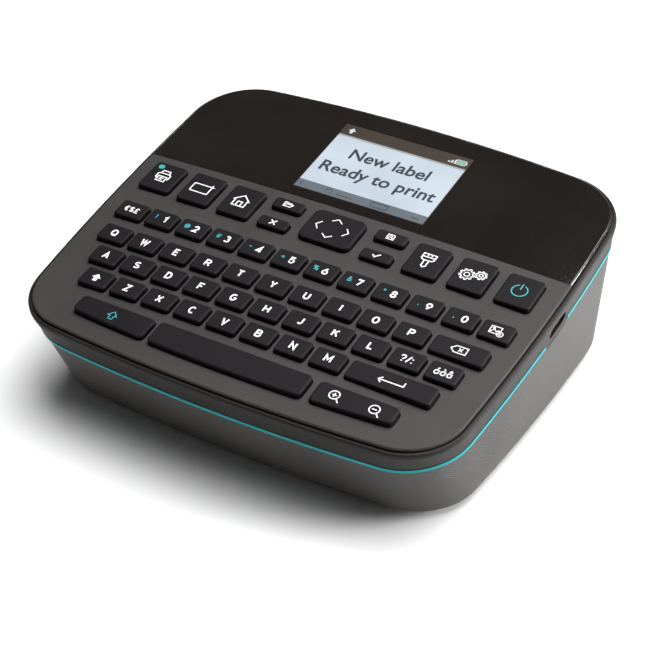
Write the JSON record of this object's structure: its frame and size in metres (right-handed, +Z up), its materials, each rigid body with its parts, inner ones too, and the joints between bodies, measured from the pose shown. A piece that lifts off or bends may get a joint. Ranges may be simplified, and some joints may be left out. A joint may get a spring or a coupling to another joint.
{
  "type": "label maker",
  "caption": "Desktop label maker with a sloping keyboard deck, glossy rear panel with colour display, thin accent line round the body and a rear door for the label cassette.",
  "frame": {"origin": "on the desk under the middle of the overall box", "axes": "+X to the right along the keyboard, +Y to the back towards the display, +Z up"},
  "size_m": [0.1976, 0.172, 0.0719],
  "materials": {
    "key_plastic": "fine satin, dark",
    "band_plastic": "satin",
    "base_plastic": "fine texture",
    "cover_plastic": "fine texture",
    "accent_plastic": "satin teal",
    "plate_plastic": "satin",
    "window_gloss": "high gloss",
    "lcd_glass": "lit display behind glass",
    "feet_rubber": "matt",
    "platen_rubber": "matt",
    "steel": "plain",
    "silicone": "translucent grey",
    "board": "solder mask",
    "bright_steel": "plain",
    "battery_shell": "wrapped",
    "cassette_plastic": "satin",
    "label_stock": "wound label edges",
    "head_aluminium": "milled",
    "motor_can": "drawn",
    "gear_plastic": "moulded acetal",
    "pinion_brass": "machined",
    "frame_plastic": "satin"
  },
  "bodies": {
    "base": {"upper_housing": "band_plastic", "lower_housing": "base_plastic", "accent_strip": "accent_plastic", "keypad_plate": "plate_plastic", "display_window": "window_gloss", "lcd_module": "lcd_glass", "rubber_feet": "feet_rubber", "housing_screws": "steel", "keypad_mat": "silicone", "keypad_board": "board", "main_board": "board", "usb_port": "bright_steel", "battery_pack": "battery_shell", "door_hinge_pin": "steel", "mechanism_frame": "bright_steel", "tape_cassette": "cassette_plastic", "print_head": "head_aluminium", "idler_post": "steel", "feed_motor": "motor_can", "cutter_frame": "frame_plastic", "cutter_motor": "motor_can", "exit_bezel": "frame_plastic"},
    "cassette_door": {"cassette_door": "cover_plastic"},
    "battery_cover": {"battery_cover": "cover_plastic"},
    "platen": {"platen_roller": "platen_rubber", "platen_gear": "gear_plastic"},
    "idler": {"idler_gear": "gear_plastic"},
    "pinion": {"motor_pinion": "pinion_brass"},
    "ribbon_spindle": {"ribbon_spindle": "gear_plastic"},
    "tape_roll": {"tape_spool": "label_stock"},
    "cutter_blade": {"cutter_blade": "bright_steel"},
    "cutter_pinion": {"cutter_pinion": "pinion_brass"},
    "key_print": {"key_print": "key_plastic"},
    "key_preview": {"key_preview": "key_plastic"},
    "key_home": {"key_home": "key_plastic"},
    "key_folder": {"key_folder": "key_plastic"},
    "key_cancel": {"key_cancel": "key_plastic"},
    "key_navigation": {"key_navigation": "key_plastic"},
    "key_save": {"key_save": "key_plastic"},
    "key_confirm": {"key_confirm": "key_plastic"},
    "key_format": {"key_format": "key_plastic"},
    "key_settings": {"key_settings": "key_plastic"},
    "key_power": {"key_power": "key_plastic"},
    "key_currency": {"key_currency": "key_plastic"},
    "digit_keys": {"digit_keys": "key_plastic"},
    "key_picture": {"key_picture": "key_plastic"},
    "letter_keys_top": {"letter_keys_top": "key_plastic"},
    "key_backspace": {"key_backspace": "key_plastic"},
    "letter_keys_home": {"letter_keys_home": "key_plastic"},
    "key_punctuation": {"key_punctuation": "key_plastic"},
    "key_accents": {"key_accents": "key_plastic"},
    "key_caps": {"key_caps": "key_plastic"},
    "letter_keys_bottom": {"letter_keys_bottom": "key_plastic"},
    "key_enter": {"key_enter": "key_plastic"},
    "key_shift": {"key_shift": "key_plastic"},
    "key_space": {"key_space": "key_plastic"},
    "key_zoom": {"key_zoom": "key_plastic"}
  },
  "joints": [
    {"name": "door_swing", "type": "hinge", "parent": "base", "child": "cassette_door", "pos_m": [0, 0.08273, 0.0445], "axis": [1, 0, 0], "range_deg": [0, 95]},
    {"name": "battery_cover_slide", "type": "slide", "parent": "base", "child": "battery_cover", "axis": [0, 1, 0], "range_m": [0, 0.016]},
    {"name": "blade_slide", "type": "slide", "parent": "base", "child": "cutter_blade", "axis": [0, 0, -1], "range_m": [0, 0.005]},
    {"name": "cutter_pinion_spin", "type": "hinge", "parent": "base", "child": "cutter_pinion", "pos_m": [-0.06742, 0.0436, 0.038], "axis": [0, 1, 0], "range_deg": [0, 70]},
    {"name": "platen_spin", "type": "hinge", "parent": "base", "child": "platen", "pos_m": [-0.047, 0.0436, 0.02485], "axis": [0, 1, 0], "continuous": true},
    {"name": "idler_spin", "type": "hinge", "parent": "base", "child": "idler", "pos_m": [-0.034, 0.0436, 0.01737], "axis": [0, 1, 0], "continuous": true},
    {"name": "pinion_spin", "type": "hinge", "parent": "base", "child": "pinion", "pos_m": [-0.0466, 0.0436, 0.01343], "axis": [0, 1, 0], "continuous": true},
    {"name": "ribbon_spin", "type": "hinge", "parent": "base", "child": "ribbon_spindle", "pos_m": [-0.02, 0.0436, 0.02552], "axis": [0, 1, 0], "continuous": true},
    {"name": "roll_spin", "type": "hinge", "parent": "base", "child": "tape_roll", "pos_m": [0.017, 0.0436, 0.0245], "axis": [0, 1, 0], "continuous": true},
    {"name": "key_print_press", "type": "slide", "parent": "base", "child": "key_print", "axis": [0, 0.1521, -0.9884], "range_m": [0, 0.0012], "stiffness_N_per_m": 500},
    {"name": "key_preview_press", "type": "slide", "parent": "base", "child": "key_preview", "axis": [0, 0.1521, -0.9884], "range_m": [0, 0.0012], "stiffness_N_per_m": 500},
    {"name": "key_home_press", "type": "slide", "parent": "base", "child": "key_home", "axis": [0, 0.1521, -0.9884], "range_m": [0, 0.0012], "stiffness_N_per_m": 500},
    {"name": "key_folder_press", "type": "slide", "parent": "base", "child": "key_folder", "axis": [0, 0.1521, -0.9884], "range_m": [0, 0.0012], "stiffness_N_per_m": 500},
    {"name": "key_cancel_press", "type": "slide", "parent": "base", "child": "key_cancel", "axis": [0, 0.1521, -0.9884], "range_m": [0, 0.0012], "stiffness_N_per_m": 500},
    {"name": "key_navigation_press", "type": "slide", "parent": "base", "child": "key_navigation", "axis": [0, 0.1521, -0.9884], "range_m": [0, 0.0012], "stiffness_N_per_m": 500},
    {"name": "key_save_press", "type": "slide", "parent": "base", "child": "key_save", "axis": [0, 0.1521, -0.9884], "range_m": [0, 0.0012], "stiffness_N_per_m": 500},
    {"name": "key_confirm_press", "type": "slide", "parent": "base", "child": "key_confirm", "axis": [0, 0.1521, -0.9884], "range_m": [0, 0.0012], "stiffness_N_per_m": 500},
    {"name": "key_format_press", "type": "slide", "parent": "base", "child": "key_format", "axis": [0, 0.1521, -0.9884], "range_m": [0, 0.0012], "stiffness_N_per_m": 500},
    {"name": "key_settings_press", "type": "slide", "parent": "base", "child": "key_settings", "axis": [0, 0.1521, -0.9884], "range_m": [0, 0.0012], "stiffness_N_per_m": 500},
    {"name": "key_power_press", "type": "slide", "parent": "base", "child": "key_power", "axis": [0, 0.1521, -0.9884], "range_m": [0, 0.0012], "stiffness_N_per_m": 500},
    {"name": "key_currency_press", "type": "slide", "parent": "base", "child": "key_currency", "axis": [0, 0.1521, -0.9884], "range_m": [0, 0.0012], "stiffness_N_per_m": 500},
    {"name": "digit_keys_press", "type": "slide", "parent": "base", "child": "digit_keys", "axis": [0, 0.1521, -0.9884], "range_m": [0, 0.0012], "stiffness_N_per_m": 500},
    {"name": "key_picture_press", "type": "slide", "parent": "base", "child": "key_picture", "axis": [0, 0.1521, -0.9884], "range_m": [0, 0.0012], "stiffness_N_per_m": 500},
    {"name": "letter_keys_top_press", "type": "slide", "parent": "base", "child": "letter_keys_top", "axis": [0, 0.1521, -0.9884], "range_m": [0, 0.0012], "stiffness_N_per_m": 500},
    {"name": "key_backspace_press", "type": "slide", "parent": "base", "child": "key_backspace", "axis": [0, 0.1521, -0.9884], "range_m": [0, 0.0012], "stiffness_N_per_m": 500},
    {"name": "letter_keys_home_press", "type": "slide", "parent": "base", "child": "letter_keys_home", "axis": [0, 0.1521, -0.9884], "range_m": [0, 0.0012], "stiffness_N_per_m": 500},
    {"name": "key_punctuation_press", "type": "slide", "parent": "base", "child": "key_punctuation", "axis": [0, 0.1521, -0.9884], "range_m": [0, 0.0012], "stiffness_N_per_m": 500},
    {"name": "key_accents_press", "type": "slide", "parent": "base", "child": "key_accents", "axis": [0, 0.1521, -0.9884], "range_m": [0, 0.0012], "stiffness_N_per_m": 500},
    {"name": "key_caps_press", "type": "slide", "parent": "base", "child": "key_caps", "axis": [0, 0.1521, -0.9884], "range_m": [0, 0.0012], "stiffness_N_per_m": 500},
    {"name": "letter_keys_bottom_press", "type": "slide", "parent": "base", "child": "letter_keys_bottom", "axis": [0, 0.1521, -0.9884], "range_m": [0, 0.0012], "stiffness_N_per_m": 500},
    {"name": "key_enter_press", "type": "slide", "parent": "base", "child": "key_enter", "axis": [0, 0.1521, -0.9884], "range_m": [0, 0.0012], "stiffness_N_per_m": 500},
    {"name": "key_shift_press", "type": "slide", "parent": "base", "child": "key_shift", "axis": [0, 0.1521, -0.9884], "range_m": [0, 0.0012], "stiffness_N_per_m": 500},
    {"name": "key_space_press", "type": "slide", "parent": "base", "child": "key_space", "axis": [0, 0.1521, -0.9884], "range_m": [0, 0.0012], "stiffness_N_per_m": 500},
    {"name": "key_zoom_press", "type": "slide", "parent": "base", "child": "key_zoom", "axis": [0, 0.1521, -0.9884], "range_m": [0, 0.0012], "stiffness_N_per_m": 500}
  ],
  "couplings": [
    {"joint": "cutter_pinion_spin", "follows": "blade_slide", "rad_per_m": 238.1},
    {"joint": "idler_spin", "follows": "platen_spin", "ratio": -0.66667},
    {"joint": "pinion_spin", "follows": "platen_spin", "ratio": 1.4286},
    {"joint": "ribbon_spin", "follows": "platen_spin", "ratio": 0.83333},
    {"joint": "roll_spin", "follows": "platen_spin", "ratio": 0.34483}
  ]
}
